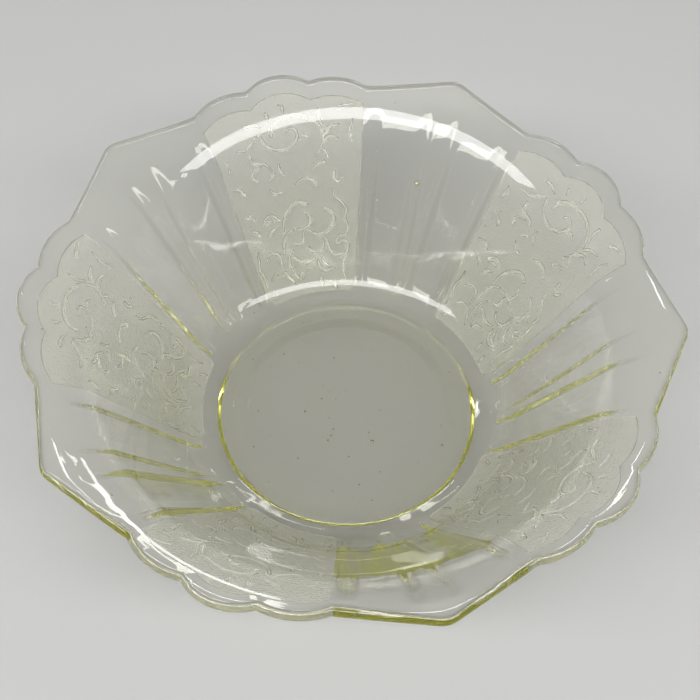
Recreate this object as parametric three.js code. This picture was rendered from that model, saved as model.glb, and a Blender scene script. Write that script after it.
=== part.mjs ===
// A pressed glass bowl, all one piece: five clear ribbed panels and five scroll panels in turn,
// a flared wall, a scalloped rim and a low foot ring.
// Millimetres, Z up. The foot stands on Z = 0, the axis is Z, and a point of the rim lies on +X.
import * as THREE from "three";

// Plan of the rim, in distances from the axis and in degrees from the point of a clear panel
const panelPairs = 5; // each pair is one clear panel and one scroll panel
const pointRadius = 118.4; // to the corner of a clear panel before it is rounded
const pointRounding = 8;
const panelEdgeAngle = 17.7; // where a clear panel ends and a scroll panel begins
const panelEdgeRadius = 110.3;
const notchAngle = 29.5; // between a side scallop and the middle scallop
const notchRadius = 112.5;
const sideScallopRise = 2.8; // of the arc above its chord
const middleScallopRise = 4.7;

// Inside of the bowl, as a profile that is turned about the axis
const floorHeight = 5.5;
const floorRadius = 46.2; // of the flat floor
const heelRadius = 20; // of the curve from the floor to the wall
const wallAngle = 55.5; // of the straight wall above the horizontal
const flareStart = 91; // distance from the axis where the wall starts to flare
const flareRadius = 42;

// Glass between the inside and the outside
const wallThickness = 4;

// Ribs that stand out on the outside of a clear panel: one in the middle, one along each edge.
// Each has a welt along both of its sides.
const ribHeight = 1.1; // between the welts
const weltHeight = 1.7;
const weltAngle = 0.95; // from a welt's top to either of its sides
const middleRibHalfAngle = 3.7;
const sideRibAngle = 5.2; // whole width
const middleRibInset = 9.5; // from the rim to the upper end of the rib
const sideRibInset = 6.8;
const ribEndLength = 3; // over which a rib's upper end sinks into the wall
const ribStart = 7.1; // from the top of the heel in to the lower end of a rib
const ribStartLength = 1.8;

// Foot ring, and the underside sunk inside it
const footShoulder = 50.3; // distance from the axis where its side meets the wall
const footRadius = 49.2;
const footInnerRadius = 44.5;
const recessDepth = 1.2;
const recessSlope = 5.5; // how far the side of the sunk part leans in

// Steps along each curve
const heelSteps = 4;
const flareSteps = 5;
const lipSteps = 5;
const sideScallopSteps = 4;
const middleScallopSteps = 6;

const degrees = THREE.MathUtils.degToRad;
const lerp = THREE.MathUtils.lerp;
const halfPair = 180 / panelPairs; // from the point to the middle of a scroll panel
const wallSin = Math.sin(degrees(wallAngle));
const wallCos = Math.cos(degrees(wallAngle));
const heelEnd = floorRadius + heelRadius * wallSin;
const heelEndHeight = floorHeight + heelRadius * (1 - wallCos);
const flareStartHeight = heelEndHeight + ((flareStart - heelEnd) * wallSin) / wallCos;
const flareCentre = new THREE.Vector2(
  flareStart + flareRadius * wallSin,
  flareStartHeight - flareRadius * wallCos,
);

function polar(radius, angle) {
  return new THREE.Vector2(Math.cos(degrees(angle)), Math.sin(degrees(angle))).multiplyScalar(radius);
}

// How far a ray from the axis goes to leave a circle
function rayToCircle(angle, centre, radius) {
  const along = polar(1, angle);
  const reach = centre.dot(along);
  const aside = centre.cross(along);
  return reach + Math.sqrt(radius * radius - aside * aside);
}

// A scallop of the rim: an arc that rises by the given height above the chord from start to end
function rayToScallop(angle, start, end, rise) {
  const chord = end.clone().sub(start);
  const half = chord.length() / 2;
  const radius = (half * half + rise * rise) / (2 * rise);
  const outwards = new THREE.Vector2(chord.y, -chord.x).normalize();
  const centre = start.clone().add(end).multiplyScalar(0.5).addScaledVector(outwards, rise - radius);
  return rayToCircle(angle, centre, radius);
}

const point = polar(pointRadius, 0);
const panelEdge = polar(panelEdgeRadius, panelEdgeAngle);
const notch = polar(notchRadius, notchAngle);
const nextNotch = polar(notchRadius, 2 * halfPair - notchAngle);
const sideNormal = new THREE.Vector2(panelEdge.y - point.y, point.x - panelEdge.x).normalize();
const roundingCentre = new THREE.Vector2(pointRadius - pointRounding / sideNormal.x, 0);
const roundingEnd = roundingCentre.clone().addScaledVector(sideNormal, pointRounding);
const roundingAngle = THREE.MathUtils.radToDeg(roundingEnd.angle());

// Radius of the rim at an angle from the point, for angles up to the middle of a scroll panel
function rimRadius(angle) {
  if (angle < roundingAngle) return rayToCircle(angle, roundingCentre, pointRounding);
  if (angle < panelEdgeAngle) return point.dot(sideNormal) / polar(1, angle).dot(sideNormal);
  if (angle < notchAngle) return rayToScallop(angle, panelEdge, notch, sideScallopRise);
  return rayToScallop(angle, notch, nextNotch, middleScallopRise);
}

// Height and sine of the slope of the inside at a distance from the axis
function inside(radius) {
  if (radius <= floorRadius) return { height: floorHeight, sine: 0 };
  if (radius < heelEnd) {
    const sine = (radius - floorRadius) / heelRadius;
    return { height: floorHeight + heelRadius * (1 - Math.sqrt(1 - sine * sine)), sine };
  }
  if (radius < flareStart) {
    const climb = ((radius - heelEnd) * wallSin) / wallCos;
    return { height: heelEndHeight + climb, sine: wallSin };
  }
  const sine = (flareCentre.x - radius) / flareRadius;
  return { height: flareCentre.y + flareRadius * Math.sqrt(1 - sine * sine), sine };
}

// A point of the section, at a depth into the glass square to the inside
function sectionPoint(radius, depth) {
  const { height, sine } = inside(radius);
  return new THREE.Vector2(radius + depth * sine, height - depth * Math.sqrt(1 - sine * sine));
}

// Where the inside ends, so that the rounded lip reaches the rim
function lipStart(rim) {
  const half = wallThickness / 2;
  return (rim - half - (half * flareCentre.x) / flareRadius) / (1 - half / flareRadius);
}

function ramp(value, length) {
  return THREE.MathUtils.clamp(value / length, 0, 1);
}

// Height of a rib at an angle from the point, away from the rib's ends
function ribProfile(angle) {
  const sideMiddle = panelEdgeAngle - sideRibAngle / 2;
  const intoMiddleRib = middleRibHalfAngle - angle;
  const intoSideRib = sideRibAngle / 2 - Math.abs(angle - sideMiddle);
  const into = Math.max(intoMiddleRib, intoSideRib);
  if (into < weltAngle) return weltHeight * ramp(into, weltAngle);
  return lerp(weltHeight, ribHeight, ramp(into - weltAngle, weltAngle));
}

// From the rim to the upper ends of the ribs
function ribInset(angle) {
  const gap = panelEdgeAngle - sideRibAngle - middleRibHalfAngle;
  return lerp(middleRibInset, sideRibInset, ramp(angle - middleRibHalfAngle, gap));
}

// The glass cut at one angle: from the floor's edge up the inside, round the lip, down the outside,
// under the foot ring and into the sunk underside. Every section has as many points.
function section(angle) {
  const points = [];
  const rim = rimRadius(angle);
  const lip = lipStart(rim);
  const lipSine = inside(lip).sine;

  for (let i = 0; i < heelSteps; i++) {
    const sine = Math.sin((degrees(wallAngle) * i) / heelSteps);
    points.push(sectionPoint(floorRadius + heelRadius * sine, 0));
  }
  points.push(sectionPoint(heelEnd, 0));
  for (let i = 0; i <= flareSteps; i++) {
    const slope = lerp(degrees(wallAngle), Math.asin(lipSine), i / flareSteps);
    points.push(sectionPoint(flareCentre.x - flareRadius * Math.sin(slope), 0));
  }

  const lipCentre = sectionPoint(lip, wallThickness / 2);
  const lipSlope = Math.asin(lipSine);
  for (let i = 1; i < lipSteps; i++) {
    const turn = lipSlope + Math.PI / 2 - (Math.PI * i) / lipSteps;
    const spoke = new THREE.Vector2(Math.cos(turn), Math.sin(turn));
    points.push(lipCentre.clone().addScaledVector(spoke, wallThickness / 2));
  }

  const rib = ribProfile(angle);
  const ribEnd = rim - ribInset(angle);
  const ribTop = ribEnd - ribEndLength;
  const topSine = inside(ribTop).sine;
  points.push(sectionPoint(lip, wallThickness));
  points.push(sectionPoint(ribEnd, wallThickness));
  for (let i = 0; i < flareSteps - 1; i++) {
    const slope = lerp(Math.asin(topSine), degrees(wallAngle), i / (flareSteps - 1));
    points.push(sectionPoint(flareCentre.x - flareRadius * Math.sin(slope), wallThickness + rib));
  }
  points.push(sectionPoint(flareStart, wallThickness + rib));
  points.push(sectionPoint(heelEnd, wallThickness + rib));

  const footJoin = floorRadius + (footShoulder - floorRadius) / (1 + wallThickness / heelRadius);
  const ribFoot = heelEnd - ribStart;
  points.push(sectionPoint(ribFoot + ribStartLength, wallThickness + rib));
  points.push(sectionPoint(ribFoot, wallThickness));
  points.push(sectionPoint(footJoin, wallThickness));
  points.push(new THREE.Vector2(footRadius, 0));
  points.push(new THREE.Vector2(footInnerRadius, 0));
  points.push(new THREE.Vector2(footInnerRadius - recessSlope, recessDepth));
  return points;
}

function spread(from, to, steps) {
  return Array.from({ length: steps }, (_, i) => lerp(from, to, i / steps));
}

// Angles from the point to the middle of a scroll panel, with one at each side and top of a welt
function halfPairAngles() {
  const sideRibStart = panelEdgeAngle - sideRibAngle;
  const angles = [
    0,
    roundingAngle,
    middleRibHalfAngle - 2 * weltAngle,
    middleRibHalfAngle - weltAngle,
    middleRibHalfAngle,
    (middleRibHalfAngle + sideRibStart) / 2,
    sideRibStart,
    sideRibStart + weltAngle,
    sideRibStart + 2 * weltAngle,
    panelEdgeAngle - 2 * weltAngle,
    panelEdgeAngle - weltAngle,
    ...spread(panelEdgeAngle, notchAngle, sideScallopSteps),
    ...spread(notchAngle, halfPair, middleScallopSteps / 2),
    halfPair,
  ];
  return angles.sort((a, b) => a - b);
}

// Sections all round the axis, each with its true angle and the section it holds
function allSections() {
  const half = halfPairAngles().map((angle) => ({ angle, points: section(angle) }));
  const sections = [];
  for (let pair = 0; pair < panelPairs; pair++) {
    const start = 2 * halfPair * pair;
    half.slice(0, -1).forEach(({ angle, points }) => sections.push({ angle: start + angle, points }));
    const back = half.slice(1).reverse();
    const end = start + 2 * halfPair;
    back.forEach(({ angle, points }) => sections.push({ angle: end - angle, points }));
  }
  return sections;
}

function bowlGeometry() {
  const sections = allSections();
  const rows = sections[0].points.length;
  const positions = [];
  const index = [];
  sections.forEach(({ angle, points }) => {
    points.forEach(({ x, y }) => {
      const across = polar(x, angle);
      positions.push(across.x, across.y, y);
    });
  });
  const floorMiddle = positions.length / 3;
  positions.push(0, 0, floorHeight);
  const undersideMiddle = floorMiddle + 1;
  positions.push(0, 0, recessDepth);
  sections.forEach((_, i) => {
    const here = i * rows;
    const next = ((i + 1) % sections.length) * rows;
    index.push(floorMiddle, here, next);
    for (let row = 0; row < rows - 1; row++) {
      index.push(here + row, here + row + 1, next + row + 1);
      index.push(here + row, next + row + 1, next + row);
    }
    index.push(undersideMiddle, next + rows - 1, here + rows - 1);
  });
  const geometry = new THREE.BufferGeometry();
  geometry.setAttribute("position", new THREE.Float32BufferAttribute(positions, 3));
  geometry.setIndex(index);
  geometry.computeVertexNormals();
  return geometry;
}

const strawGlass = new THREE.MeshStandardMaterial({
  color: 0xe6e2b4,
  roughness: 0.06,
  metalness: 0,
  transparent: true,
  opacity: 0.45,
});

const bowl = new THREE.Mesh(bowlGeometry(), strawGlass);
bowl.name = "bowl";

const part = new THREE.Group();
part.add(bowl);

export default part;
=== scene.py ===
# Pressed glass bowl in pale straw glass, on a plain pale floor.
# The shapes are worked out in millimetres and set down in metres in the same frame as the CAD.
import math
import random
import bpy
import numpy as np
from mathutils import Matrix, Vector
from mathutils.geometry import delaunay_2d_cdt


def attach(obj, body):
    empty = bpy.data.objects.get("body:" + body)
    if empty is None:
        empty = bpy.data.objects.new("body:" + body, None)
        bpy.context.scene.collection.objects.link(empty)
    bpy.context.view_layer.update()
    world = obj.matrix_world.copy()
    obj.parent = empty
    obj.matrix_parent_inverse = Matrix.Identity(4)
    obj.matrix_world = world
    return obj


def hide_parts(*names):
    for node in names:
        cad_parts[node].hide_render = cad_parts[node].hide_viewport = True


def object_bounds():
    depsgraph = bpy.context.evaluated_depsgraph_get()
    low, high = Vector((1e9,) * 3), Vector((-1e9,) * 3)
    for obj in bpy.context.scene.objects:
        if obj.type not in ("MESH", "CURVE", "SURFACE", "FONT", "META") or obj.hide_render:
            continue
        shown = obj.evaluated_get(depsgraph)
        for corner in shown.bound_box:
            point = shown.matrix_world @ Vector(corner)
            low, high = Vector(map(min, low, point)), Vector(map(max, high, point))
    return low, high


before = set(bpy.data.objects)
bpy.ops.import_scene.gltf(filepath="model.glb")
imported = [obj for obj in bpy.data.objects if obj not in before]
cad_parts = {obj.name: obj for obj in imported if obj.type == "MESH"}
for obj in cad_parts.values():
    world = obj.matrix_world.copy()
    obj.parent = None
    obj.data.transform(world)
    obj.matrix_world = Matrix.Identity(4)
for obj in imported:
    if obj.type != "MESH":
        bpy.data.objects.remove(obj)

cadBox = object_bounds()
millimetre = 0.001

bowl = {
    "panelPairs": 5,            # a clear panel and a scroll panel each
    "pointRadius": 118.4,       # rim: corner of a clear panel before it is rounded
    "pointRounding": 8,
    "panelEdgeAngle": 17.7,     # degrees from the point of a clear panel
    "panelEdgeRadius": 110.3,
    "notchAngle": 29.5,
    "notchRadius": 112.5,
    "sideScallopRise": 2.8,
    "middleScallopRise": 4.7,
    "floorHeight": 5.5,         # inside profile
    "floorRadius": 46.2,
    "heelRadius": 20,
    "wallAngle": 55.5,
    "flareStart": 91,
    "flareRadius": 42,
    "wallThickness": 4,
    "wallTaper": 0.62,          # added to the wall where the heel ends and taken off where the flare starts
    "taperEnd": 18,             # this far into the flare the wall has its full thickness again
    "footShoulder": 50.6,       # radius where the foot's side meets the wall
    "footRadius": 49,           # of the ring it stands on
    "footRounding": 0.45,
    "footInnerRadius": 44.5,
    "recessDepth": 1.2,
    "recessSlope": 6.5,         # its length, and the shares of length and depth down the slope
    "slopeShares": (0, 0.1, 0.2, 0.5, 0.8, 0.9, 1),
    "depthShares": (0, 0.03, 0.12, 0.5, 0.88, 0.97, 1),
}

ribs = {
    "middleHeight": 1.5,        # of the round welt along each side, the top between is lower
    "sideHeight": 1.3,
    "fadeStart": 12,            # from here up the profile the rib sinks to its share at the upper end
    "endShare": 0.42,
    "middleWelt": 7.2,          # width of the welt
    "sideWelt": 6,
    "middleHalfAngle": 5.5,
    "sideHalfAngle": 2.6,
    "middleInset": 7.5,         # from the rim to the upper end
    "sideInset": 4.8,
    "lowerEnd": 9.5,            # along the profile from the floor's edge
    "lowerCorner": 1.8,
    "upperCorner": 3.6,
    "lowerStretch": 0.4,        # the ends are drawn as long as the welt is wide, then scaled by these
    "upperStretch": 1.9,
    # section of the welt, from the rib's edge inwards
    "levels": [0, 0.08, 0.2, 0.34, 0.46, 0.54, 0.6, 0.66, 0.76, 0.9, 1],
    "rises": [0, 0.05, 0.26, 0.62, 0.88, 0.98, 1, 0.97, 0.82, 0.5, 0.4],
    "clearance": 0.5,           # in levels, how far the mesh's plain points stay off the rib's edges
}

# The scrolls, drawn on the flat panel as it is seen from inside with the rim up: x from the panel's
# middle and y up the profile. Each is a ribbon: half widths at its start, middle and end, then its line.
scrolls = {
    "height": 0.5,
    "flank": 0.36,
    "flankShare": 0.85,         # of the half width, at most
    "levels": [0, 0.4, 1],      # from the foot of the flank to the top
    "rises": [0, 0.62, 1],
    "flankEnd": 0.95,           # faces above this level are the top
    "clearance": 0.8,
    "ribbons": [
        ((0.5, 0.85, 0.6), [(0, 76.2), (1.5, 77.4), (3.4, 76.7), (4.2, 74.6), (3.3, 71.9), (1, 69.9),
                          (-2.2, 69), (-5.8, 70), (-8.7, 72.7), (-10.3, 76.6)]),
        ((0.8, 0.9, 0.4), [(-6, 75.8), (-5.4, 79.3), (-2.6, 81.6), (2.4, 82.6), (7, 82), (11.4, 79.6),
                          (13.8, 75.8), (13.9, 71.6), (12.6, 68), (10.2, 65)]),
        ((0.4, 0.8, 0.5), [(5, 73), (6.6, 73.9), (8.6, 72.4)]),
        ((0.8, 0.7, 0.35), [(-6.6, 85.2), (-5.8, 83)]),
        ((0.8, 0.7, 0.35), [(0.3, 87), (0.4, 84.4)]),
        ((0.8, 0.8, 0.35), [(-15.2, 82.2), (-12.4, 81.8), (-9.6, 80.2)]),
        ((0.6, 0.8, 0.35), [(14, 84), (13.6, 80.4), (14.8, 77.2)]),
        ((0.5, 0.9, 0.6), [(-20.4, 73.6), (-17.2, 72.9), (-14.6, 74.4), (-12, 77)]),
        ((0.6, 0.8, 0.4), [(-15.6, 70.4), (-15.4, 67.6), (-13.2, 66), (-10, 65), (-7.8, 61.6)]),
        ((0.4, 0.8, 0.5), [(-11.8, 64.4), (-14.6, 63.8), (-16, 61.6), (-14.6, 59.4)]),
        ((0.4, 0.8, 0.4), [(-25.2, 71.2), (-24.4, 68.6), (-25.2, 65.8)]),
        ((0.5, 0.7, 0.35), [(-5, 63.6), (-4.6, 60.8), (-3, 58.8)]),
        ((0.8, 0.7, 0.35), [(-7.2, 60), (-10, 58)]),
        ((0.4, 0.9, 0.5), [(-23.8, 59.4), (-21.6, 58.2), (-19.8, 55.2)]),
        ((0.4, 0.8, 0.5), [(-9.6, 54.2), (-8, 52.2), (-5.4, 52)]),
        ((0.5, 0.9, 0.4), [(14.4, 72.6), (16.8, 76), (21.2, 77.6)]),
        ((0.4, 0.8, 0.5), [(12, 67.8), (14.6, 71.2), (17.4, 72.8), (19.8, 71.6)]),
        ((0.4, 0.7, 0.5), [(12.4, 68), (14, 66.4), (14.6, 64)]),
        ((0.4, 0.8, 0.7), [(8.4, 59.4), (10.4, 61.2), (13.2, 62.2)]),
        ((0.7, 0.8, 0.5), [(16.4, 57.8), (16.2, 55), (17.6, 53.6), (19.6, 55.8)]),
        ((0.4, 0.8, 0.7), [(0.6, 54.4), (4, 55.9), (7.4, 55.2), (9, 53)]),
        ((0.4, 0.7, 0.4), [(26.8, 79.6), (25, 75.4), (24.8, 70.2)]),
        ((0.7, 0.7, 0.35), [(22, 84), (24.2, 85.4), (27.6, 86.2)]),
        ((0.4, 0.9, 0.8), [(-6.9, 35.4), (-6, 40.4), (-3.4, 44.4), (0.2, 46.8), (3.6, 45.6)]),
        ((0.5, 0.85, 0.4), [(3, 42), (4.4, 39), (3.4, 36.2), (0.8, 35.2), (-1.6, 35.6)]),
        ((0.7, 1.0, 0.4), [(10.2, 43.3), (12.8, 41.2), (13.5, 37.8), (12, 34.5), (9, 32.5), (6, 32.3),
                          (3.2, 34.2)]),
        ((0.4, 0.85, 0.5), [(-8, 25.8), (-7.4, 30.4), (-6, 34), (-3, 35.6)]),
        ((0.4, 0.8, 0.6), [(0.8, 34.2), (0.6, 31), (-0.6, 29), (-2.7, 29.4)]),
        ((0.4, 0.8, 0.6), [(8.8, 31.4), (9.8, 27.8), (10.3, 24.8), (12.2, 22.3), (14.2, 22.9)]),
        ((0.6, 0.8, 0.35), [(1.8, 27), (3.1, 25), (5.4, 24.6), (7.6, 26), (8.3, 28.6), (7.7, 30.8)]),
        ((0.7, 1.1, 0.5), [(-3.9, 23.6), (-1.4, 21.3), (1.4, 20.7), (4, 21.8)]),
        ((0.5, 1.0, 0.6), [(5.1, 21), (5.3, 18.2), (7.4, 16.6), (10.8, 17.2)]),
        ((0.4, 0.7, 0.5), [(6.6, 22), (6.9, 20), (8.4, 18.6)]),
        ((0.4, 0.8, 0.5), [(-2.9, 14.8), (-1.9, 16.9), (0.7, 17.6)]),
        ((0.4, 0.9, 0.4), [(-14.6, 42), (-12.3, 43.8), (-9.8, 43.2), (-7.9, 41)]),
        ((0.4, 0.8, 0.5), [(-13.6, 40.2), (-11.9, 41.7), (-10, 41)]),
        ((0.5, 0.9, 0.4), [(-12.9, 35.2), (-12, 37.4), (-9.8, 38.2)]),
        ((0.5, 0.9, 0.4), [(-15.4, 26.1), (-13.9, 28), (-11.5, 27.8), (-9.8, 25.5), (-9.4, 21)]),
        ((0.5, 0.9, 0.4), [(-14.6, 17.7), (-12.5, 19.3), (-9.6, 18.9), (-7.3, 16.8), (-5.6, 14)]),
        ((0.4, 0.8, 0.4), [(-4.2, 27.4), (-6.1, 24.5), (-6.2, 20.6), (-4.8, 17.3), (-3.6, 15.4)]),
        ((0.4, 0.8, 0.4), [(-20.2, 40.6), (-17.8, 39.2), (-16.6, 37.2)]),
        ((0.4, 0.8, 0.4), [(-22.8, 46.2), (-19.8, 46.4), (-17.4, 44.4)]),
        ((0.4, 0.7, 0.4), [(-19, 31.2), (-18.6, 27), (-19, 23.4), (-17.4, 19.4), (-17.4, 15.6)]),
        ((0.4, 0.8, 0.35), [(14.9, 50.4), (15, 47.6), (17.5, 45), (18.8, 42.2), (18.1, 38.8), (18.6, 35),
                          (18, 31.8)]),
        ((0.5, 0.8, 0.4), [(17.4, 31.4), (14.6, 30.6), (13.4, 28.5), (14.2, 27.3), (16.2, 28.9),
                          (17.7, 27.6), (16.8, 23.8), (15.2, 20), (14.4, 16.4), (14.8, 13)]),
        ((0.5, 0.7, 0.35), [(-14, 13.6), (-15.2, 11.2)]),
        ((0.5, 0.7, 0.35), [(5.4, 14.2), (5.2, 11.2)]),
        ((0.5, 0.7, 0.35), [(10, 12.4), (10.6, 9.8)]),
    ],
}

# The stippled field that the scrolls stand on, raised a little above the clear glass
field = {
    "height": 0.45,
    "flank": 0.45,
    "lowerEnd": 9,
    "rimInset": 5.5,
    "corner": 2.5,
    "edgeGap": 0.15,            # degrees between the side ribs and the field
    "levels": [0, 1],
    "clearance": 1.2,
}

glass = {
    "tint": (0.87, 0.87, 0.36),     # what is left of each colour, for the absorption
    "absorption": 25,           # per metre
    "ior": 1.51,
    "polish": 0.02,
    "satinRoughness": 0.42,
    "satinClear": 0.6,          # share of the light that the satin lets through
    "ribbonPaintedHighlight": 2.2,         # on top of the scrolls, where the stippled field has 1: a whiter, more diffusing top, a painted highlight for the scrolls' bright strokes
    "flankSatin": 0.3,
    "stippleSize": 0.62,
    "stippleHeight": 0.25,
    "stippleDetail": 2,
    "waveSize": 17,             # of the faint waves in the surface
    "waveHeight": 0.09,
    "waveDetail": 1,
}

# Seed bubbles in the glass: how many, their sizes, and where the few large ones are
seeds = {
    "count": 200,
    "floorShare": 0.3,
    "radii": (0.13, 0.36),
    "draw": 5,              # another number gives other places
    "alongTo": 92,          # how far up the profile they lie
    "depths": (1.2, 2.8),
    "subdivisions": 2,
    "largeDepth": 2.0,
    "large": [              # radius, length up the profile from the floor's edge, angle
        (1.0, 57, 74.5), (0.7, -28.6, -52.6), (0.55, -6, -20.4), (0.45, -30.2, -113), (0.45, -30, 188.6),
    ],
}

# Profile sizes that follow from the dictionary
wallSlope = math.radians(bowl["wallAngle"])
heelAlong = bowl["heelRadius"] * wallSlope
heelEnd = bowl["floorRadius"] + bowl["heelRadius"] * math.sin(wallSlope)
heelEndHeight = bowl["floorHeight"] + bowl["heelRadius"] * (1 - math.cos(wallSlope))
flareAlong = heelAlong + (bowl["flareStart"] - heelEnd) / math.cos(wallSlope)
flareStartHeight = heelEndHeight + (flareAlong - heelAlong) * math.sin(wallSlope)
flareCentre = (bowl["flareStart"] + bowl["flareRadius"] * math.sin(wallSlope),
               flareStartHeight - bowl["flareRadius"] * math.cos(wallSlope))
pairAngle = 360 / bowl["panelPairs"]
halfPair = pairAngle / 2


def insideAt(along):
    # radius, height and slope of the inside, at a length up the profile from the floor's edge
    along = np.asarray(along, float)
    slope = np.clip(along / bowl["heelRadius"], 0, wallSlope)
    slope = np.where(along > flareAlong, wallSlope - (along - flareAlong) / bowl["flareRadius"], slope)
    where = [along <= 0, along < heelAlong, along < flareAlong]
    radius = np.select(where, [
        bowl["floorRadius"] + along,
        bowl["floorRadius"] + bowl["heelRadius"] * np.sin(slope),
        heelEnd + (along - heelAlong) * math.cos(wallSlope),
    ], flareCentre[0] - bowl["flareRadius"] * np.sin(slope))
    height = np.select(where, [
        bowl["floorHeight"] + 0 * along,
        bowl["floorHeight"] + bowl["heelRadius"] * (1 - np.cos(slope)),
        heelEndHeight + (along - heelAlong) * math.sin(wallSlope),
    ], flareCentre[1] + bowl["flareRadius"] * np.cos(slope))
    return radius, height, slope


def turned(radius, height, angle):
    turn = np.radians(angle)
    return np.stack(np.broadcast_arrays(radius * np.cos(turn), radius * np.sin(turn), height), -1)


def inGlass(along, angle, depth):
    # a point at a depth into the glass, square to the inside
    radius, height, slope = insideAt(along)
    return turned(radius + depth * np.sin(slope), height - depth * np.cos(slope), angle)


def wallAt(along):
    # the glass from inside to outside, without what is raised on it
    taper = bowl["wallTaper"]
    knots = [footAlong, heelAlong, flareAlong, flareAlong + bowl["taperEnd"]]
    return bowl["wallThickness"] + np.interp(along, knots, [0, taper, -taper, 0])


def polar(radius, angle):
    return Vector((math.cos(math.radians(angle)), math.sin(math.radians(angle)))) * radius


def rayToCircle(angle, centre, radius):
    along = polar(1, angle)
    aside = centre.x * along.y - centre.y * along.x
    return centre.dot(along) + math.sqrt(radius * radius - aside * aside)


def rayToScallop(angle, start, end, rise):
    chord = end - start
    half = chord.length / 2
    radius = (half * half + rise * rise) / (2 * rise)
    outwards = Vector((chord.y, -chord.x)).normalized()
    return rayToCircle(angle, (start + end) / 2 + outwards * (rise - radius), radius)


rimPoint = polar(bowl["pointRadius"], 0)
panelEdge = polar(bowl["panelEdgeRadius"], bowl["panelEdgeAngle"])
notch = polar(bowl["notchRadius"], bowl["notchAngle"])
nextNotch = polar(bowl["notchRadius"], pairAngle - bowl["notchAngle"])
sideNormal = Vector((panelEdge.y - rimPoint.y, rimPoint.x - panelEdge.x)).normalized()
roundingCentre = Vector((bowl["pointRadius"] - bowl["pointRounding"] / sideNormal.x, 0))
roundingEnd = roundingCentre + sideNormal * bowl["pointRounding"]
roundingAngle = math.degrees(math.atan2(roundingEnd.y, roundingEnd.x))


def rimRadius(angle):
    angle = abs((angle + halfPair) % pairAngle - halfPair)
    if angle < roundingAngle:
        return rayToCircle(angle, roundingCentre, bowl["pointRounding"])
    if angle < bowl["panelEdgeAngle"]:
        return rimPoint.dot(sideNormal) / polar(1, angle).dot(sideNormal)
    if angle < bowl["notchAngle"]:
        return rayToScallop(angle, panelEdge, notch, bowl["sideScallopRise"])
    return rayToScallop(angle, notch, nextNotch, bowl["middleScallopRise"])


def lipAlong(angle):
    # where the inside ends, so that the rounded lip reaches the rim
    half = bowl["wallThickness"] / 2
    towardsCentre = half * flareCentre[0] / bowl["flareRadius"]
    lip = (rimRadius(angle) - half - towardsCentre) / (1 - half / bowl["flareRadius"])
    slope = math.asin((flareCentre[0] - lip) / bowl["flareRadius"])
    return flareAlong + bowl["flareRadius"] * (wallSlope - slope)


def spread(start, end, steps):
    return [start + (end - start) * i / steps for i in range(steps)]


# How finely the bowl is divided
detail = {
    "columns": (8, 6, 10, 14, 8),       # rim point, to the seam, from it, small scallop, large one
    "floorRows": 5,             # rows up the inside
    "heelRows": 14,
    "wallRows": 9,
    "flareRows": 14,
    "lipRows": 12,
    "footRounds": 6,            # steps round the foot's edge
    "recessRings": (37, 29, 19, 9, 0),
    "spacing": 2.3,             # of the plain points between the raised forms
    "acrossPoints": 52,
    "seamPoints": 42,
    "lipGap": 1.2,              # between the last plain points and the lip
    "curveStep": 0.9,           # along the scrolls
    "curveRounds": 4,           # steps round a scroll's end
    "ribPoints": 64,            # along a rib's sides
    "ribRounds": (3, 5),        # steps round its lower and upper corners
    "leastRound": 0.05,         # radius that the corners of the inner outlines keep
    "pointGap": 0.3,            # between the points of the sides and the corners
    "endGap": 0.2,              # the same at the ends
    "fieldPoints": (24, 33, 70),        # along the field's lower edge, its sides and its upper edge
    "fieldBorder": 60,          # places where its upper edge is worked out
    "fieldRounds": 4,           # steps round its lower corners
    "quadFold": 40,             # degrees, triangles that fold more or make a worse quad stay triangles
    "quadSkew": 50,
    "mergeDistance": 2e-6,      # metres
    "smoothAngle": 32,          # degrees, sharper edges stay sharp
}

# One sector is modelled and copied round: a scroll panel, the side ribs beside it and a middle rib.
# It starts and ends on plain glass, between a middle rib and a side rib.
sideRibAngle = bowl["panelEdgeAngle"] - ribs["sideHalfAngle"]
seamAngle = (ribs["middleHalfAngle"] + sideRibAngle - ribs["sideHalfAngle"]) / 2


def sectorAngles():
    point, clear, fromClear, small, large = detail["columns"]
    toSeam = spread(0, roundingAngle, point) + spread(roundingAngle, seamAngle, clear)
    fromSeam = spread(seamAngle, bowl["panelEdgeAngle"], fromClear)
    fromSeam += spread(bowl["panelEdgeAngle"], bowl["notchAngle"], small)
    fromSeam += spread(bowl["notchAngle"], halfPair, large) + [halfPair]
    mirrored = [pairAngle - a for a in reversed(fromSeam[:-1])]
    clearPanel = [pairAngle - a for a in reversed(toSeam[1:])] + [pairAngle + a for a in toSeam]
    return np.array(fromSeam + mirrored + clearPanel + [pairAngle + seamAngle])


angles = sectorAngles()
lips = np.array([lipAlong(a) for a in angles])
heelOutside = bowl["heelRadius"] + bowl["wallThickness"]
footSlope = math.asin((bowl["footShoulder"] - bowl["floorRadius"]) / heelOutside)
footAlong = bowl["heelRadius"] * footSlope


def insideRows():
    # from the middle of the floor up the inside and round the lip
    rows = []
    alongs = spread(-bowl["floorRadius"], 0, detail["floorRows"]) + spread(0, heelAlong, detail["heelRows"])
    alongs += spread(heelAlong, flareAlong, detail["wallRows"])
    for along in alongs:
        rows.append(inGlass(along, angles, 0))
    for i in range(detail["flareRows"] + 1):
        rows.append(inGlass(flareAlong + (lips - flareAlong) * i / detail["flareRows"], angles, 0))
    half = bowl["wallThickness"] / 2
    radius, height, slope = insideAt(lips)
    for i in range(1, detail["lipRows"] + 1):
        turn = slope + math.pi / 2 - math.pi * i / detail["lipRows"]
        middle = radius + half * np.sin(slope), height - half * np.cos(slope)
        rows.append(turned(middle[0] + half * np.cos(turn), middle[1] + half * np.sin(turn), angles))
    return rows


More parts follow.
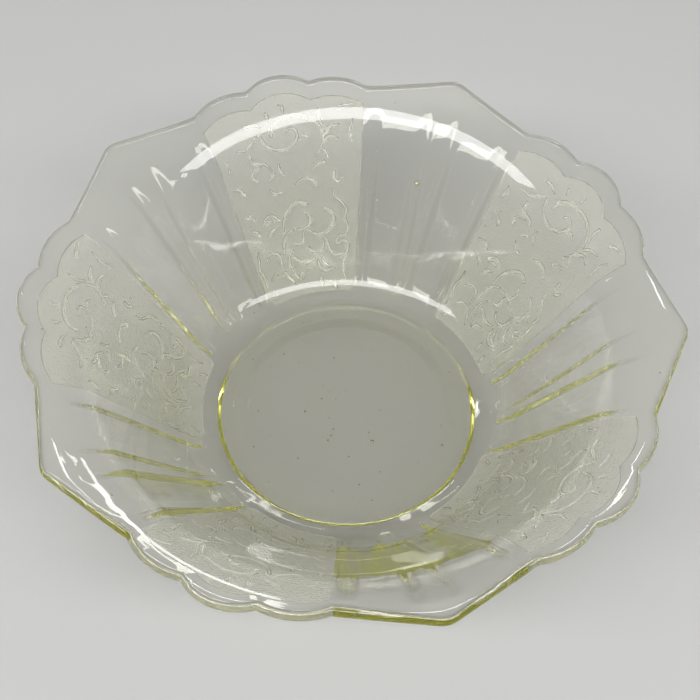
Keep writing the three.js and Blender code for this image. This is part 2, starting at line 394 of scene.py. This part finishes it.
def footRows():
    # from the wall down the foot ring and under it to the middle
    shoulder = inGlass(footAlong, 0, bowl["wallThickness"])
    shoulder, corner = Vector((shoulder[0], shoulder[2])), Vector((bowl["footRadius"], 0))
    side = (shoulder - corner).normalized() * bowl["footRounding"]
    under = Vector((-bowl["footRounding"], 0))
    profile = [tuple(shoulder), tuple((shoulder + corner + side) / 2)]
    for i in range(detail["footRounds"] + 1):
        t = i / detail["footRounds"]
        profile.append(tuple(corner + side * (1 - t) ** 2 + under * t ** 2))
    for share, rise in zip(bowl["slopeShares"], bowl["depthShares"]):
        profile.append((bowl["footInnerRadius"] - bowl["recessSlope"] * share, bowl["recessDepth"] * rise))
    profile += [(r, bowl["recessDepth"]) for r in detail["recessRings"]]
    return [turned(r, z, angles) for r, z in profile]


def deselectAll():
    if bpy.context.object and bpy.context.object.mode != "OBJECT":
        bpy.ops.object.mode_set(mode="OBJECT")
    bpy.ops.object.select_all(action="DESELECT")


def gridPiece(name, rows):
    # a grid whose columns are the sector's angles and whose rows lie on the given lines
    deselectAll()
    bpy.ops.mesh.primitive_grid_add(x_subdivisions=len(angles) - 1, y_subdivisions=len(rows) - 1, size=1)
    piece = bpy.context.object
    piece.name = name
    places = np.concatenate(rows) * millimetre
    piece.data.vertices.foreach_set("co", places.astype(np.float32).ravel())
    piece.data.update()
    return piece


# Raised forms on the outside. Ribs and scrolls are drawn flat, in millimetres: x across from an
# origin angle and y up the profile. The field is drawn in degrees round the bowl and millimetres up.
def flatToSector(x, y, origin):
    radius = insideAt(y)[0]
    return np.stack([origin + np.degrees(x / radius), y], -1)


def sectorToFlat(places, origin):
    radius = insideAt(places[:, 1])[0]
    return np.radians(places[:, 0] - origin) * radius, places[:, 1]


def arc(centreX, centreY, radius, start, end, steps):
    turn = np.radians(np.linspace(start, end, steps + 1))
    return np.stack([centreX + radius * np.cos(turn), centreY + radius * np.sin(turn)], -1)


def asForm(outline, levelAt, rise, sizes):
    # outline gives a form's edge at a level, levelAt the level at a place and rise the height there
    return {"outline": outline, "levelAt": levelAt, "rise": rise,
            "levels": sizes["levels"], "clearance": sizes["clearance"]}


def ribForm(origin, place, upperEnd):
    halfAngle, welt, height = (ribs[place + part] for part in ("HalfAngle", "Welt", "Height"))
    lowCorner, highCorner = ribs["lowerCorner"], ribs["upperCorner"]
    straightStart = ribs["lowerEnd"] + welt * ribs["lowerStretch"]
    straightEnd = upperEnd - welt * ribs["upperStretch"]
    low, high = straightStart - welt, straightEnd + welt
    steps = np.linspace(low + lowCorner, high - highCorner, detail["ribPoints"])
    lowRounds, highRounds = detail["ribRounds"]
    drawn = [low - welt, straightStart, straightEnd, high + welt]
    real = [straightStart - 2 * welt * ribs["lowerStretch"], straightStart,
            straightEnd, straightEnd + 2 * welt * ribs["upperStretch"]]

    def stretched(y):
        return np.interp(y, drawn, real)

    def halfWidth(y):
        return math.radians(halfAngle) * insideAt(stretched(y))[0]

    def outline(level):
        inset = level * welt
        lowRound, highRound = (max(c - inset, detail["leastRound"]) for c in (lowCorner, highCorner))
        lowY, highY = low + inset + lowRound, high - inset - highRound
        gap, endGap = detail["pointGap"], detail["endGap"]
        y = steps[(steps > lowY + gap) & (steps < highY - gap)]
        ends = []
        for side, end, corner in ((-1, lowY, lowRound), (1, highY, highRound)):
            x = halfWidth(end) - np.array(ribs["levels"]) * welt
            x = x[(x > endGap) & (x < halfWidth(end) - inset - corner - endGap)]
            ends.append(np.stack([x, np.full(len(x), end + side * corner)], -1))
        right = np.concatenate([
            ends[0][::-1],
            arc(halfWidth(lowY) - inset - lowRound, lowY, lowRound, -90, 0, lowRounds),
            np.stack([halfWidth(y) - inset, y], -1),
            arc(halfWidth(highY) - inset - highRound, highY, highRound, 0, 90, highRounds),
            ends[1],
        ])
        left = right[::-1] * (-1, 1)
        loop = np.concatenate([right, left])
        return flatToSector(loop[:, 0], stretched(loop[:, 1]), origin)

    def levelAt(places):
        x, y = sectorToFlat(places, origin)
        y = np.interp(y, real, drawn)
        aside = halfWidth(y) - np.abs(x)
        reach = aside
        for end, corner in ((y - low, lowCorner), (high - y, highCorner)):
            cornered = corner - np.hypot(np.maximum(corner - aside, 0), np.maximum(corner - end, 0))
            reach = np.minimum(reach, np.where((aside < corner) & (end < corner), cornered, end))
        return reach / welt

    def rise(places):
        x, y = sectorToFlat(places, origin)
        fade = np.interp(y, [ribs["fadeStart"], upperEnd], [1, ribs["endShare"]])
        y = np.interp(y, real, drawn)
        ramp = np.clip(np.minimum(y - low, high - y) / welt, 0, 1)
        across = np.interp((halfWidth(y) - np.abs(x)) / welt, ribs["levels"], ribs["rises"])
        return height * fade * ramp ** 2 * (3 - 2 * ramp) * across

    return asForm(outline, levelAt, rise, ribs)


def smoothLine(points, step):
    # a smooth curve through the points, with its share of the length at each place
    points = np.array(points, float)
    points = np.stack([2 * points[0] - points[1], *points, 2 * points[-1] - points[-2]])
    line = []
    for before, start, end, after in zip(points, points[1:], points[2:], points[3:]):
        count = max(2, int(np.linalg.norm(end - start) / step))
        for t in np.arange(count) / count:
            squared = 2 * before - 5 * start + 4 * end - after
            cubed = 3 * start - before - 3 * end + after
            line.append(0.5 * (2 * start + (end - before) * t + squared * t ** 2 + cubed * t ** 3))
    line.append(points[-2])
    line = np.array(line)
    length = np.concatenate([[0], np.cumsum(np.linalg.norm(np.diff(line, axis=0), axis=1))])
    return line, length / length[-1]


def ribbonForm(halfWidths, points):
    line, share = smoothLine(points, detail["curveStep"])
    width = np.interp(share, [0, 0.5, 1], halfWidths)
    flank = np.minimum(scrolls["flank"], scrolls["flankShare"] * width)
    heading = np.gradient(line, axis=0)
    heading /= np.linalg.norm(heading, axis=1)[:, None]
    left = np.stack([-heading[:, 1], heading[:, 0]], -1)

    def outline(level):
        offset = width - level * flank
        first, last = (math.degrees(math.atan2(heading[i, 1], heading[i, 0])) for i in (0, -1))
        loop = np.concatenate([
            line - left * offset[:, None],
            arc(*line[-1], offset[-1], last - 90, last + 90, detail["curveRounds"])[1:-1],
            (line + left * offset[:, None])[::-1],
            arc(*line[0], offset[0], first + 90, first + 270, detail["curveRounds"])[1:-1],
        ])
        return flatToSector(-loop[:, 0], loop[:, 1], halfPair)

    def levelAt(places):
        x, y = sectorToFlat(places, halfPair)
        here = np.stack([-x, y], -1)
        farOff, reach = -9.0, 3
        level = np.full(len(here), farOff)
        near = np.all((here > line.min(0) - reach) & (here < line.max(0) + reach), axis=1)
        for i in range(len(line) - 1):
            step = line[i + 1] - line[i]
            t = np.clip((here[near] - line[i]) @ step / (step @ step), 0, 1)
            gap = np.linalg.norm(here[near] - line[i] - t[:, None] * step, axis=1)
            wide = width[i] + (width[i + 1] - width[i]) * t
            side = flank[i] + (flank[i + 1] - flank[i]) * t
            level[near] = np.maximum(level[near], (wide - gap) / side)
        return level

    def rise(places):
        return scrolls["height"] * np.interp(levelAt(places), scrolls["levels"], scrolls["rises"])

    return asForm(outline, levelAt, rise, scrolls)


def fieldForm():
    # the border of the stippled field: the side ribs left and right, the scalloped rim above
    start = bowl["panelEdgeAngle"] + field["edgeGap"]
    border = np.linspace(start, pairAngle - start, detail["fieldBorder"])
    top = np.array([lipAlong(a) for a in border]) - field["rimInset"]
    lowPoints, sidePoints, rimPoints = detail["fieldPoints"]
    sideRadius, cornerRadius = 85, 60       # of the bowl, about where the side and the corners are

    def outline(level):
        inset = level * field["flank"]
        turn = np.degrees(inset / sideRadius)
        low, corner = field["lowerEnd"] + inset, field["corner"]
        left = start + turn
        cornerTurn = math.degrees(corner / cornerRadius)
        across = np.linspace(left + cornerTurn, pairAngle - left - cornerTurn, lowPoints)
        upper = np.linspace(left, pairAngle - left, rimPoints)
        side = np.linspace(low + corner, np.interp(left, border, top) - inset, sidePoints + 1)[:-1]
        bend = np.radians(np.linspace(0, 90, detail["fieldRounds"] + 1)[1:-1])
        bendAngle, bendAlong = cornerTurn * (1 - np.sin(bend)), corner * (1 - np.cos(bend))
        return np.concatenate([
            np.stack([across, np.full(lowPoints, low)], -1),
            np.stack([pairAngle - left - bendAngle, low + bendAlong], -1),
            np.stack([np.full(sidePoints, pairAngle - left), side], -1),
            np.stack([upper, np.interp(upper, border, top) - inset], -1)[::-1],
            np.stack([np.full(sidePoints, left), side], -1)[::-1],
            np.stack([left + bendAngle, low + bendAlong], -1)[::-1],
        ])

    def levelAt(places):
        radius = insideAt(places[:, 1])[0]
        aside = np.radians(np.minimum(places[:, 0] - start, pairAngle - start - places[:, 0])) * radius
        above = np.interp(places[:, 0], border, top) - places[:, 1]
        below = places[:, 1] - field["lowerEnd"]
        corner = field["corner"]
        cornered = corner - np.hypot(np.maximum(corner - aside, 0), np.maximum(corner - below, 0))
        low = np.where((aside < corner) & (below < corner), cornered, np.minimum(aside, below))
        return np.minimum(low, above) / field["flank"]

    def rise(places):
        return field["height"] * np.clip(levelAt(places), 0, 1)

    return asForm(outline, levelAt, rise, field)


def allForms():
    forms = []
    for origin in (sideRibAngle, pairAngle - sideRibAngle):
        upperEnd = lipAlong(sideRibAngle) - ribs["sideInset"]
        forms.append(ribForm(origin, "side", upperEnd))
    forms.append(ribForm(pairAngle, "middle", lipAlong(0) - ribs["middleInset"]))
    ribbons = [ribbonForm(halfWidths, points) for halfWidths, points in scrolls["ribbons"]]
    return forms, ribbons, fieldForm()


def plainPoints(forms):
    # a grid of points wherever no form's edge is near
    plain = []
    steps = int((lips.max() - footAlong) / detail["spacing"])
    for row in range(1, steps):
        along = footAlong + (lips.max() - footAlong) * row / steps
        across = np.linspace(angles[0], angles[-1], detail["acrossPoints"])[1:-1]
        plain.append(np.stack([across, np.full(len(across), along)], -1))
    plain = np.concatenate(plain)
    plain = plain[plain[:, 1] < np.interp(plain[:, 0], angles, lips) - detail["lipGap"]]
    for form in forms:
        level = form["levelAt"](plain)
        plain = plain[(level < -form["clearance"]) | (level > 1 + form["clearance"])]
    return plain


def makeQuads(piece):
    # pairs of triangles become quads between the forms' edges, for an even surface
    deselectAll()
    piece.select_set(True)
    bpy.context.view_layer.objects.active = piece
    bpy.ops.object.mode_set(mode="EDIT")
    bpy.ops.mesh.select_all(action="SELECT")
    fold, skew = math.radians(detail["quadFold"]), math.radians(detail["quadSkew"])
    bpy.ops.mesh.tris_convert_to_quads(face_threshold=fold, shape_threshold=skew, seam=True)
    bpy.ops.mesh.mark_seam(clear=True)
    bpy.ops.object.mode_set(mode="OBJECT")


def outsidePiece():
    # from the foot to the lip, triangulated so that its edges follow every raised form
    ribForms, ribbons, fieldEdge = allForms()
    forms = ribForms + ribbons + [fieldEdge]
    middleRadius = 90
    scale = np.array([math.radians(middleRadius), 1])       # degrees to millimetres there
    sideAlong = np.linspace(footAlong, lips[0], detail["seamPoints"])
    border = np.concatenate([
        np.stack([angles, np.full(len(angles), footAlong)], -1),
        np.stack([np.full(detail["seamPoints"] - 1, angles[-1]), sideAlong[1:]], -1),
        np.stack([angles, lips], -1)[::-1][1:],
        np.stack([np.full(detail["seamPoints"] - 2, angles[0]), sideAlong[::-1][1:-1]], -1),
    ])
    points = [border]
    edges = [(i, (i + 1) % len(border)) for i in range(len(border))]
    count = len(border)
    for form in forms:
        for level in form["levels"]:
            loop = form["outline"](level)
            points.append(loop)
            edges += [(count + i, count + (i + 1) % len(loop)) for i in range(len(loop))]
            count += len(loop)
    points.append(plainPoints(forms))

    samePoint, onBorder = 1e-5, 1e-4
    flat = [Vector(p) for p in np.concatenate(points) * scale]
    found, foundEdges, faces, _, givenEdges, _ = delaunay_2d_cdt(flat, edges, [], 1, samePoint, False)
    formEdges = {tuple(sorted(edge)) for edge, given in zip(foundEdges, givenEdges) if given}
    places = np.array([tuple(p) for p in found]) / scale
    middles = np.array([places[list(f)].mean(0) for f in faces])
    within = middles[:, 1] < np.interp(middles[:, 0], angles, lips)
    faces = [f for f, inside in zip(faces, within) if inside]
    middles = middles[within]
    rise = np.zeros(len(places))
    for form in ribForms + ribbons:
        rise = np.maximum(rise, form["rise"](places))
    rise += fieldEdge["rise"](places)
    onEdge = np.zeros(len(places), bool)
    for column in (angles[0], angles[-1]):
        onEdge |= np.abs(places[:, 0] - column) < onBorder
    onEdge |= np.abs(places[:, 1] - footAlong) < onBorder
    rise[onEdge] = 0
    corners = inGlass(places[:, 1], places[:, 0], wallAt(places[:, 1]) + rise) * millimetre

    mesh = bpy.data.meshes.new("outside")
    mesh.from_pydata([tuple(c) for c in corners], [], [tuple(f) for f in faces])
    # the scroll tops get more satin than the field, so they let less light through and look whiter: a
    # painted highlight for their bright strokes
    onRibbon = np.max([form["levelAt"](middles) for form in ribbons], axis=0)
    where = [fieldEdge["levelAt"](middles) < 0, onRibbon > scrolls["flankEnd"], onRibbon > 0]
    satin = np.select(where, [0, glass["ribbonPaintedHighlight"], glass["flankSatin"]], 1)
    mesh.attributes.new("satin", "FLOAT", "FACE").data.foreach_set("value", satin.astype(np.float32))
    for edge in mesh.edges:
        edge.use_seam = tuple(sorted(edge.vertices)) in formEdges
    piece = bpy.data.objects.new("outside", mesh)
    bpy.context.collection.objects.link(piece)
    makeQuads(piece)
    print("outside", len(corners), "points", len(piece.data.polygons), "faces")
    return piece


def joined(pieces, name):
    deselectAll()
    for piece in pieces:
        piece.select_set(True)
    bpy.context.view_layer.objects.active = pieces[0]
    bpy.ops.object.join()
    piece = bpy.context.object
    piece.name = name
    piece.data.name = name
    return piece


def closed(piece):
    bpy.ops.object.mode_set(mode="EDIT")
    bpy.ops.mesh.select_all(action="SELECT")
    bpy.ops.mesh.remove_doubles(threshold=detail["mergeDistance"])
    bpy.ops.mesh.normals_make_consistent(inside=False)
    bpy.ops.mesh.select_all(action="DESELECT")
    bpy.ops.mesh.select_mode(type="EDGE")
    bpy.ops.mesh.select_non_manifold()
    bpy.ops.object.mode_set(mode="OBJECT")
    return sum(e.select for e in piece.data.edges)


def buildBowl():
    inside, foot = gridPiece("inside", insideRows()), gridPiece("foot", footRows())
    sector = joined([inside, foot, outsidePiece()], "sector")
    sectors = [sector]
    for i in range(1, bowl["panelPairs"]):
        copy = sector.copy()
        copy.data = sector.data.copy()
        copy.data.transform(Matrix.Rotation(math.radians(pairAngle * i), 4, "Z"))
        bpy.context.collection.objects.link(copy)
        sectors.append(copy)
    piece = joined(sectors, "pressed_bowl")
    openEdges = closed(piece)
    # the facets of the CAD's lip make its box a hair smaller
    corners = np.array([v.co for v in piece.data.vertices])
    piece.data.transform(Matrix.Diagonal((*(np.array(cadBox[1]) / corners.max(0)).clip(0, 1), 1)))
    bpy.ops.object.shade_smooth_by_angle(angle=math.radians(detail["smoothAngle"]))
    print("bowl", len(piece.data.polygons), "faces", openEdges, "open edges")
    return piece


def addSeeds(piece):
    # each bubble is a ball of air, so its faces look in
    random.seed(seeds["draw"])
    places = [(*large, seeds["largeDepth"]) for large in seeds["large"]]
    while len(places) < seeds["count"]:
        onFloor = bowl["floorRadius"] * (random.random() ** 0.5 - 1)       # evenly over the floor
        along = onFloor if random.random() < seeds["floorShare"] else random.uniform(0, seeds["alongTo"])
        radius = seeds["radii"][0] + (seeds["radii"][1] - seeds["radii"][0]) * random.random() ** 2
        places.append((radius, along, random.uniform(0, 360), random.uniform(*seeds["depths"])))
    bubbles = []
    for radius, along, angle, depth in places:
        deselectAll()
        bpy.ops.mesh.primitive_ico_sphere_add(
            subdivisions=seeds["subdivisions"], radius=radius * millimetre)
        bubble = bpy.context.object
        bubble.data.transform(Matrix.Translation(inGlass(along, angle, depth) * millimetre))
        bubble.data.flip_normals()
        bubble.data.shade_smooth()
        bubbles.append(bubble)
    count = len(bubbles)
    piece = joined([piece] + bubbles, piece.name)
    print("seeds", count)
    return piece


def glassMaterial():
    material = bpy.data.materials.new("straw_glass")
    material.use_nodes = True
    nodes, links = material.node_tree.nodes, material.node_tree.links
    shader = nodes["Principled BSDF"]
    shader.inputs["Base Color"].default_value = (1, 1, 1, 1)
    shader.inputs["Roughness"].default_value = glass["polish"]
    shader.inputs["IOR"].default_value = glass["ior"]
    shader.inputs["Transmission Weight"].default_value = 1

    # satin faces are rough, and the grains of the stipple let less light through
    satin = nodes.new("ShaderNodeAttribute")
    satin.attribute_name = "satin"
    place = nodes.new("ShaderNodeTexCoord")
    stipple = nodes.new("ShaderNodeTexNoise")
    stipple.inputs["Scale"].default_value = 1 / (glass["stippleSize"] * millimetre)
    stipple.inputs["Detail"].default_value = glass["stippleDetail"]
    links.new(place.outputs["Object"], stipple.inputs["Vector"])
    rough = nodes.new("ShaderNodeMapRange")
    rough.inputs["To Min"].default_value = glass["polish"]
    rough.inputs["To Max"].default_value = glass["satinRoughness"]
    links.new(satin.outputs["Fac"], rough.inputs["Value"])
    links.new(rough.outputs["Result"], shader.inputs["Roughness"])
    bumpMask = nodes.new("ShaderNodeMath")
    bumpMask.operation = "MULTIPLY"
    links.new(satin.outputs["Fac"], bumpMask.inputs[0])
    links.new(stipple.outputs["Fac"], bumpMask.inputs[1])
    # where satin is above 1, on the scroll tops, even less light goes through and the top looks whiter:
    # painted highlight
    clear = nodes.new("ShaderNodeMapRange")
    clear.clamp = False
    clear.inputs["From Max"].default_value = 0.5        # what the noise is on average
    clear.inputs["To Min"].default_value = 1
    clear.inputs["To Max"].default_value = glass["satinClear"]
    links.new(bumpMask.outputs[0], clear.inputs["Value"])
    links.new(clear.outputs["Result"], shader.inputs["Transmission Weight"])

    # faint waves all over, and the stipple as a bump on top of them
    wave = nodes.new("ShaderNodeTexNoise")
    wave.inputs["Scale"].default_value = 1 / (glass["waveSize"] * millimetre)
    wave.inputs["Detail"].default_value = glass["waveDetail"]
    links.new(place.outputs["Object"], wave.inputs["Vector"])
    waveBump = nodes.new("ShaderNodeBump")
    waveBump.inputs["Distance"].default_value = glass["waveHeight"] * millimetre
    links.new(wave.outputs["Fac"], waveBump.inputs["Height"])
    bump = nodes.new("ShaderNodeBump")
    bump.inputs["Distance"].default_value = glass["stippleHeight"] * millimetre
    links.new(bumpMask.outputs[0], bump.inputs["Height"])
    links.new(waveBump.outputs["Normal"], bump.inputs["Normal"])
    links.new(bump.outputs["Normal"], shader.inputs["Normal"])

    # the straw colour grows with the length of glass that the light goes through
    volume = nodes.new("ShaderNodeVolumeAbsorption")
    volume.inputs["Color"].default_value = (*glass["tint"], 1)
    volume.inputs["Density"].default_value = glass["absorption"]
    links.new(volume.outputs[0], nodes["Material Output"].inputs["Volume"])
    return material


studio = {
    "floor": (0.50, 0.50, 0.49),
    "floorSize": 6,
    "floorDrop": 0.0003,        # under the bowl, so that the two don't touch
    "floorRoughness": 0.9,
    "floorShine": 0.1,
    "world": (0.40, 0.40, 0.405),
    "lampAim": 0.05,            # height that the lamps point at
    "bounces": 48,
    "lamps": {
        # direction from the bowl, distance, size, watts
        "strip": ((0, -0.50, 0.866), 1.2, (3.0, 0.28), 23),
        "back": ((0.17, 0.90, 0.34), 1.3, (0.42, 0.07), 0.9),
        "rear": ((-0.03, 0.76, 0.65), 1.3, (0.66, 0.03), 1.0),
        "side": ((-0.30, 0.51, 0.81), 1.3, (0.07, 0.05), 0.2),
    },
}


def buildStudio():
    deselectAll()
    bpy.ops.mesh.primitive_plane_add(size=studio["floorSize"], location=(0, 0, -studio["floorDrop"]))
    floor = bpy.context.object
    floor.name = "floor"
    material = bpy.data.materials.new("floor")
    material.use_nodes = True
    shader = material.node_tree.nodes["Principled BSDF"]
    shader.inputs["Base Color"].default_value = (*studio["floor"], 1)
    shader.inputs["Roughness"].default_value = studio["floorRoughness"]
    shader.inputs["Specular IOR Level"].default_value = studio["floorShine"]
    floor.data.materials.append(material)

    for name, (direction, distance, size, watts) in studio["lamps"].items():
        lamp = bpy.data.lights.new(name, "AREA")
        lamp.shape = "RECTANGLE"
        lamp.size, lamp.size_y = size
        lamp.energy = watts
        holder = bpy.data.objects.new(name, lamp)
        towards = Vector(direction).normalized()
        holder.location = towards * distance + Vector((0, 0, studio["lampAim"]))
        holder.rotation_euler = towards.to_track_quat("Z", "Y").to_euler()
        bpy.context.collection.objects.link(holder)

    world = bpy.data.worlds.new("studio")
    world.use_nodes = True
    world.node_tree.nodes["Background"].inputs["Color"].default_value = (*studio["world"], 1)
    bpy.context.scene.world = world


camera = {
    "elevation": 57.25,         # degrees
    "roll": 1.97,
    "turn": 1.5,
    "distance": 0.4882,         # metres
    "target": (0, 0, 0.0355),
    "shift": (0.00085, 0.00595),        # right and up, square to the line of sight
    "sensor": 36,
    "focal": 1315.7 / 700,      # in widths of the picture
}


def buildCamera():
    tilt, roll = math.radians(camera["elevation"]), math.radians(camera["roll"])
    forward = Vector((0, math.cos(tilt), -math.sin(tilt)))
    level, upright = Vector((1, 0, 0)), Vector((0, math.sin(tilt), math.cos(tilt)))
    right = level * math.cos(roll) + upright * math.sin(roll)
    up = upright * math.cos(roll) - level * math.sin(roll)
    place = -forward * camera["distance"] + right * camera["shift"][0] + up * camera["shift"][1]
    turn = Matrix.Rotation(math.radians(camera["turn"]), 4, "Z")
    frameMatrix = Matrix((right, up, -forward)).transposed().to_4x4()
    frameMatrix.translation = place
    view = bpy.data.cameras.new("view")
    view.sensor_width = camera["sensor"]
    view.lens = camera["sensor"] * camera["focal"]
    viewer = bpy.data.objects.new("view", view)
    viewer.matrix_world = Matrix.Translation(camera["target"]) @ turn @ frameMatrix
    bpy.context.collection.objects.link(viewer)
    bpy.context.scene.camera = viewer


buildCamera()
print("camera set")
buildStudio()
print("studio set")
pressedBowl = addSeeds(buildBowl())
pressedBowl.data.materials.clear()
pressedBowl.data.materials.append(glassMaterial())
print("glass set")
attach(pressedBowl, "root")
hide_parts("bowl")
bpy.context.scene.view_settings.view_transform = "Standard"
bpy.context.scene.cycles.max_bounces = studio["bounces"]
bpy.context.scene.cycles.transmission_bounces = studio["bounces"]
bpy.context.scene.cycles.glossy_bounces = studio["bounces"]
